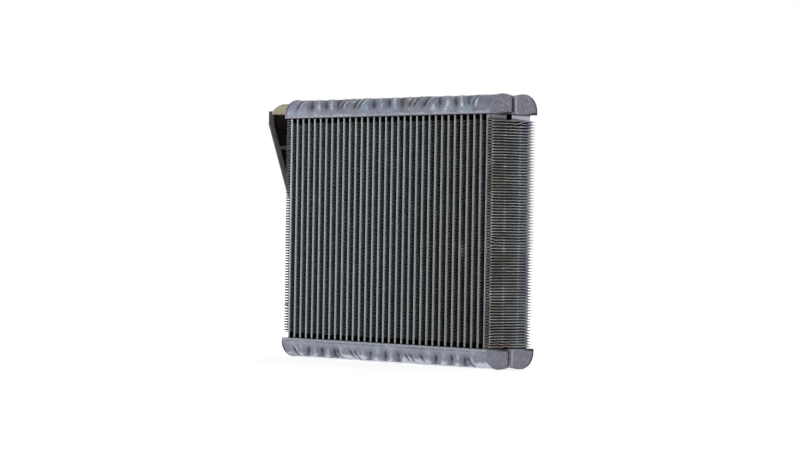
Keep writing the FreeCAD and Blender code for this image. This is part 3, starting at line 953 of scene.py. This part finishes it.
def fold_line(arc_points):
    """The folded sheet's middle line: arcs of the crest radius, each with that many points, lie
    to the left and to the right in turn, and straight legs join them. Returns x, z and the
    normal's x and z, to the left of the line's travel."""
    centre_gap = FIN_HEIGHT - FIN_SHEET - 2 * CREST_RADIUS
    half_pitch = FOLD_PITCH / 2
    lean = math.atan2(half_pitch, centre_gap)
    lean -= math.asin(2 * CREST_RADIUS / math.hypot(centre_gap, half_pitch))
    crest = np.arange(2 * FOLD_COUNT + 1)[:, None]
    side = np.where(crest % 2 == 0, -1.0, 1.0)
    turn = np.linspace(lean - math.pi / 2, math.pi / 2 - lean, arc_points)[None, :]
    x = FIN_HEIGHT / 2 + side * (centre_gap / 2 + CREST_RADIUS * np.cos(turn))
    z = FIN_LOW[2] + crest * half_pitch + CREST_RADIUS * np.sin(turn)
    normal_x = np.broadcast_to(-np.cos(turn), x.shape)
    normal_z = -side * np.sin(turn)
    kept = (z >= FIN_LOW[2]) & (z <= FIN_HIGH[2])
    return [part[kept] for part in (x, z, normal_x, normal_z)]


def crushed_line(end_z, away):
    """The line of the folds that are crushed past a fin's end, from the left crest on: x follows
    the cosine over the crushed pitch, raised to a low power so that the crests are full.
    Returned from the bottom up, as fold_line is."""
    past = np.linspace(CRUSHED_START, CRUSHED_LENGTH, 40)[::away]
    wave = full(np.cos(TAU * past / CRUSHED_PITCH), CRUSHED_POWER)
    x = FIN_HEIGHT / 2 - (FIN_HEIGHT - FIN_SHEET) / 2 * wave
    z = end_z + away * past
    slope_x, slope_z = np.gradient(x), np.gradient(z)
    length = np.hypot(slope_x, slope_z)
    return x, z, -slope_z / length, slope_x / length


def sheet_of(shell, line, y, left, shift_x=0.0, shift_z=0.0, tone=0.5):
    """Gives a folded line its depth and thickness, with its left side at one x: each row is a
    ring that goes to the rear on one side of the sheet and back to the front on the other."""
    x, z, normal_x, normal_z = line
    rows = []
    for side in (1, -1):
        half = side * FIN_SHEET / 2
        across = (left + x + half * normal_x)[:, None] + shift_x
        height = (z + half * normal_z)[:, None] + shift_z
        rows.append(stack(across, y[None, :], height))
    toned = np.broadcast_to(tone, rows[0].shape[:2])
    shell.tube(there_and_back(*rows), there_and_back(toned, toned))


def make_fin_group(first, seed):
    """The folded sheets of one node, each between two tubes, from the first gap's number on.
    Each has its own slight shift and sway along z, and rises or drops towards the middle of the
    core, as its louvres do, so that no light passes."""
    random = np.random.default_rng(seed)
    shell = Shell()
    x, z, normal_x, normal_z = fold_line(3)
    y = np.array([-1, 0, 1]) * (CORE_HALF_DEPTH - FIN_RECESS)
    crest = np.abs(x / FIN_HEIGHT - 0.5) * 2
    rubbed = np.clip(1 - 2 * x / FIN_HEIGHT, 0, 1)
    for index in range(first, min(first + FINS_PER_GROUP, TUBE_COUNT - 1)):
        left = place_x(index) + TUBE_THICKNESS / 2
        shift = random.uniform(-FIN_SHIFT, FIN_SHIFT) * FOLD_PITCH
        bend = random.normal(0, FIN_BEND, (z.size, 3)) * (1 - crest[:, None] ** 4)
        bend[:, 1] += LOUVRE_RISE * (1 if index % 2 else -1)
        sway = FIN_SWAY * np.sin(TAU * (z / SWAY_LENGTH + random.uniform(0, 1)))
        line = (x, z + shift + sway, normal_x, normal_z)
        sheet_of(shell, line, y, left, shift_z=bend, tone=rubbed[:, None])
    number = first // FINS_PER_GROUP + 1
    make_piece("fin_packs_%d" % number, shell, "fin_aluminium", ["fin_group_%d" % number], sharp=60)


def make_outer_fin(name, left, outward, seed, pressed_flat, bent):
    """An exposed fin, with a few crushed folds past one end. Its folds wave along their length,
    lie flat or bent in places, flare at the front edge and bulge along two lines where the
    banks of louvres meet."""
    random = np.random.default_rng(seed)
    lines = [fold_line(9), crushed_line(FIN_HIGH[2], 1)]
    if outward > 0:
        lines = [crushed_line(FIN_LOW[2], -1), fold_line(9)]
    line = [np.concatenate(parts) for parts in zip(*lines)]
    share, level, normal_z = line[0] / FIN_HEIGHT, line[1][:, None], line[3][:, None]
    outer = (share if outward > 0 else 1 - share)[:, None]
    edge = CORE_HALF_DEPTH - np.array([0, 0.6])
    inner = CORE_HALF_DEPTH - 1.8
    y = np.concatenate([-edge, np.linspace(-inner, inner, 28), edge[::-1]])
    depth = y[None, :]
    shift_z = 0.13 * uneven(random, depth, level, 16) + 0.06 * uneven(random, depth, level * 4, 8)
    for middle_y, middle_z, width_y, width_z, size in bent:
        patch = bell(depth, middle_y, width_y) * bell(level, middle_z, width_z)
        shift_z += size * patch * (0.5 + 0.7 * uneven(random, depth, level, 7))
    seams = sum(bell(depth, seam, 0.9) for seam in LOUVRE_SEAMS)
    seams = seams * (0.7 + 0.4 * uneven(random, np.ones_like(depth), level, 9))
    flare = (0.4 * bell(depth, -CORE_HALF_DEPTH, 1.5) + 0.25 * seams) * normal_z
    shift_z = (shift_z - outward * flare) * outer
    flat = pressed_flat + 0.10 * (1 + uneven(random, depth, level, 11))
    shift_x = outward * np.minimum(0.12 * seams - flat, -0.01) * outer ** 2
    front_edge = 0.9 * bell(depth, 0.7 - CORE_HALF_DEPTH, 1.0) * outer ** 0.5
    tone = np.clip(np.maximum(outer ** 3 * (0.8 + 0.2 * seams), front_edge), 0, 1)
    shell = Shell()
    sheet_of(shell, line, y, left, shift_x, shift_z, tone)
    make_piece(name + "_sheet", shell, "fin_aluminium", [name], sharp=60, finish=OUTER_FIN_FINISH)


# Braze beads

def bead(shell, ring, size, steps):
    """A hollow bead of braze. ring(reach, height) gives the closed line that stands reach out
    from the inner piece, height above the flat. The bead's section is a concave quarter round
    from the inner piece to the flat, closed by one point behind them both."""
    turn = np.linspace(0, math.pi / 2, steps)
    rings = [ring(size - size * np.cos(angle), size - size * np.sin(angle)) for angle in turn]
    rings.append(ring(-BEAD_SUNK, -BEAD_SUNK))
    shell.grid(np.stack(rings), across=True, along=True)


def make_tube_beads(name, face_z, away):
    """A bead round every tube where it leaves the tube plate."""
    random = np.random.default_rng(BEAD_SEED)
    turn = np.linspace(0, TAU, 16, endpoint=False)
    ends = np.where(np.sin(turn) >= 0, 1.0, -1.0)
    straight = TUBE_HALF_DEPTH - TUBE_THICKNESS / 2
    shell = Shell()
    for index in range(TUBE_COUNT):
        for row in (-1, 1):

            def ring(reach, height):
                half = TUBE_THICKNESS / 2 + reach
                x = place_x(index) + half * np.cos(turn)
                y = row * TUBE_ROW_Y + ends * straight + half * np.sin(turn)
                return stack(x, y, face_z + away * height)

            bead(shell, ring, random.uniform(*TUBE_BEAD), 4)
    make_piece(name, shell, "plate_aluminium", sharp=180)


def make_pipe_beads():
    """A bead round each pipe, against the tank's end and against the connection block."""
    turn = np.linspace(0, TAU, 32, endpoint=False)
    shell = Shell()
    for pipe in ("outlet_pipe", "inlet_pipe"):
        low, high = node_box(pipe)
        centre_y, centre_z = (low[1] + high[1]) / 2, (low[2] + high[2]) / 2
        radius = (high[1] - low[1]) / 2
        for face_x, away in ((CAP_LEFT, -1), (BLOCK_HIGH[0], 1)):

            def ring(reach, height):
                y = centre_y + (radius + reach) * np.cos(turn)
                z = centre_z + (radius + reach) * np.sin(turn)
                return stack(face_x + away * height, y, z)

            bead(shell, ring, PIPE_BEAD, 6)
    make_piece("pipe_beads", shell, "plain_aluminium", sharp=180)


# Insulation pad

def soft_block(shell, low, high, edge, left=None):
    """A soft block: each level is a rounded rectangle |x/a|^7 + |y/b|^7 = 1, drawn in by the
    edge's round at the top and the bottom. left may give the left side's x at each height."""
    quarter = np.linspace(0, math.pi / 2, 7)
    levels = np.concatenate([
        low[2] + edge * (1 - np.cos(quarter)),
        np.linspace(low[2] + edge, high[2] - edge, 40)[1:-1],
        high[2] - edge * (1 - np.cos(quarter[::-1])),
    ])[:, None]
    from_end = np.minimum(levels - low[2], high[2] - levels)
    inset = edge - np.sqrt(edge ** 2 - np.clip(edge - from_end, 0, edge) ** 2)
    turn = np.linspace(0, TAU, 33)[None, :-1]
    round_x, round_y = full(np.cos(turn), SOFT_POWER), full(np.sin(turn), SOFT_POWER)
    near = left(levels) if left else low[0]
    x = (high[0] + near) / 2 + ((high[0] - near) / 2 - inset) * round_x
    y = (high[1] + low[1]) / 2 + ((high[1] - low[1]) / 2 - inset) * round_y
    shell.tube(stack(x, y, levels))


def make_pad():
    """The foam pad: a tapering body under the block, a thin wall before the block and another
    between the block and the tank, fused into one skin."""
    left, front, foot = PAD_LOW
    right, rear, top = PAD_HIGH
    knee = BLOCK_LOW[2]
    wall_foot = knee - PAD_WALL_OVERLAP
    body = (PAD_LOW, (right, rear, knee - PAD_SLACK))
    front_wall = ((left, front, wall_foot), (right, BLOCK_BODY_FRONT - PAD_SLACK, top))
    side_wall_low = (BLOCK_HIGH[0] + PAD_SLACK, front, wall_foot)

    def tapered(level):
        share = np.clip((knee - level) / (knee - foot), 0, 1)
        return left + share * (right - PAD_TOE - left)

    shell = Shell()
    soft_block(shell, *body, PAD_EDGE, tapered)
    soft_block(shell, *front_wall, PAD_WALL_EDGE)
    soft_block(shell, side_wall_low, (right, rear, PIPE_FOOT - PAD_SLACK), PAD_WALL_EDGE)
    piece = make_piece("foam_pad", shell, "black_foam", ["insulation_pad"])
    fused = piece.modifiers.new("fused", "REMESH")
    fused.mode = "VOXEL"
    fused.voxel_size = PAD_VOXEL * MM
    fused.use_smooth_shade = True


# Dressing the frame

# The tanks: name, the tube plate's face, the way out of the core, and the crown's shine. The
# ends: name, the cap's face and the way out along X.
TANKS = (("top", UPPER_FACE, 1, 0.10), ("bottom", LOWER_FACE, -1, 0.7))
ENDS = (("left", CAP_LEFT, -1), ("right", CAP_RIGHT, 1))


def dress():
    """Gives every CAD node its finish, and makes the pieces that stand for nodes or add to them."""
    for subpart in frame["record"]["subparts"]:
        mesh = frame["nodes"][subpart["node"]].data
        mesh.materials.clear()
        mesh.materials.append(FINISHES[subpart["material_slot"]].material)

    for seed, (level, face_z, up, sheen) in enumerate(TANKS, TANK_SEED):
        make_tank(level + "_tank", face_z, up, seed, sheen)
    caps = [(tank, end) for tank in TANKS for end in ENDS]
    for seed, ((level, face_z, up, _), (side, end_x, outward)) in enumerate(caps, CAP_SEED):
        make_cap("%s_%s_end_cap" % (level, side), end_x, outward, face_z, up, seed)

    for seed, first in enumerate(range(0, TUBE_COUNT - 1, FINS_PER_GROUP), FIN_SEED):
        make_fin_group(first, seed)
    seed = OUTER_FIN_SEED
    make_outer_fin("right_outer_fin", FIN_LOW[0], 1, seed, 0.0, RIGHT_BENT)
    make_outer_fin("left_outer_fin", LEFT_FIN_X, -1, seed + 1, LEFT_PRESSED_FLAT, LEFT_BENT)

    for level, face_z, up, _ in TANKS:
        make_tube_beads(level + "_tube_beads", face_z, -up)
    make_pipe_beads()
    make_pad()


# Stage: a white floor that keeps the shadow, white world, soft lamps. Lengths are metres here.

FLOOR_SIZE = 12.0
FLOOR_COLOUR = (0.8, 0.8, 0.8, 1)
FLOOR_GLOW = 0.62
FAR_GLOW = 0.55
FAR_REACH = (0.25, 0.9)
WHITE = (1, 1, 1, 1)
WORLD_LIGHT = 0.30

# Lamps: name, place, size and power. All face one point.
AIM = (0.0, 0.0, 0.12)
LAMPS = (
    ("key_lamp", (-1.1, -1.3, 0.35), 0.8, 13),
    ("top_lamp", (0.1, 0.0, 1.5), 1.2, 1),
    ("side_lamp", (1.6, -0.5, 0.35), 1.0, 8.6),
    ("rear_lamp", (-0.7, 1.4, 0.8), 1.0, 7),
)


def make_floor():
    """A flat floor. The camera sees it lit white, more so far from the object, and its diffuse
    part keeps the shadow. To every other ray it is only pale."""
    corners = [(FLOOR_SIZE * x, FLOOR_SIZE * y, 0) for x, y in ((-1, -1), (1, -1), (1, 1), (-1, 1))]
    mesh = bpy.data.meshes.new("floor")
    mesh.from_pydata(corners, [], [(0, 1, 2, 3)])
    floor = add_object("floor", mesh)
    f = Finish("floor_finish", roughness=0.9, specular=0.1)
    reach = f.node("ShaderNodeVectorMath", {"operation": "LENGTH"}, {0: f.place()}, "Value")
    glow = f.seen() * (FLOOR_GLOW + FAR_GLOW * reach.step(*FAR_REACH))
    f.feed("Base Color", FLOOR_COLOUR)
    f.feed("Emission Strength", 1.0)
    f.feed("Emission Color", f.node("ShaderNodeCombineXYZ", {}, {0: glow, 1: glow, 2: glow}))
    mesh.materials.append(f.material)
    floor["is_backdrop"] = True


def make_world():
    """White to camera, glossy and transmission rays, and a soft grey light otherwise."""
    world = bpy.data.worlds.new("studio")
    bpy.context.scene.world = world
    world.use_nodes = True
    world.node_tree.nodes.clear()
    w = Nodes(world.node_tree)
    soft = w.node("ShaderNodeBackground", {}, {"Color": WHITE, "Strength": WORLD_LIGHT})
    white = w.node("ShaderNodeBackground", {}, {"Color": WHITE})
    either = w.node("ShaderNodeMixShader", {}, {0: w.seen(), 1: soft, 2: white})
    w.node("ShaderNodeOutputWorld", {}, {"Surface": either}, None)


def make_lamp(name, place, size, power):
    """A square soft lamp that faces the aim."""
    lamp = bpy.data.lights.new(name, "AREA")
    lamp.shape = "SQUARE"
    lamp.size = size
    lamp.energy = power
    holder = add_object(name, lamp)
    holder.location = place
    holder.rotation_euler = (Vector(AIM) - Vector(place)).to_track_quat("-Z", "Y").to_euler()


# Camera: the photo's view, 50 degrees round from the front, almost level, rolled a little

VIEW_DEGREES = (50, 0.05, 0.9031)
CAMERA_PLACE = (2306.1, -1926.3, 127.35)
FOCAL_PIXELS = 3152.905
IMAGE_WIDTH = 800
SENSOR_WIDTH = 36.0


def make_camera():
    """A camera at its place, in millimetres, that looks along the azimuth and the pitch."""
    azimuth, pitch, roll = map(math.radians, VIEW_DEGREES)
    optics = bpy.data.cameras.new("camera")
    optics.sensor_width = SENSOR_WIDTH
    optics.lens = FOCAL_PIXELS / IMAGE_WIDTH * SENSOR_WIDTH
    optics.clip_start = 0.1
    optics.clip_end = 60
    camera = add_object("camera", optics)
    forward = Vector((
        -math.sin(azimuth) * math.cos(pitch),
        math.cos(azimuth) * math.cos(pitch),
        math.sin(pitch),
    ))
    level_right = Vector((math.cos(azimuth), math.sin(azimuth), 0))
    level_up = level_right.cross(forward)
    right = level_right * math.cos(roll) + level_up * math.sin(roll)
    upward = level_up * math.cos(roll) - level_right * math.sin(roll)
    turned = Matrix((right, upward, -forward)).transposed().to_4x4()
    camera.matrix_world = Matrix.Translation(Vector(CAMERA_PLACE) * MM) @ turned
    bpy.context.scene.camera = camera
    bpy.context.scene.view_settings.view_transform = "Standard"


dress()
make_floor()
make_world()
for lamp in LAMPS:
    make_lamp(*lamp)
make_camera()

boxes = {"cad": CAD_BOX, "visual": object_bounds()}
{name: [list(corner) for corner in box] for name, box in boxes.items()}
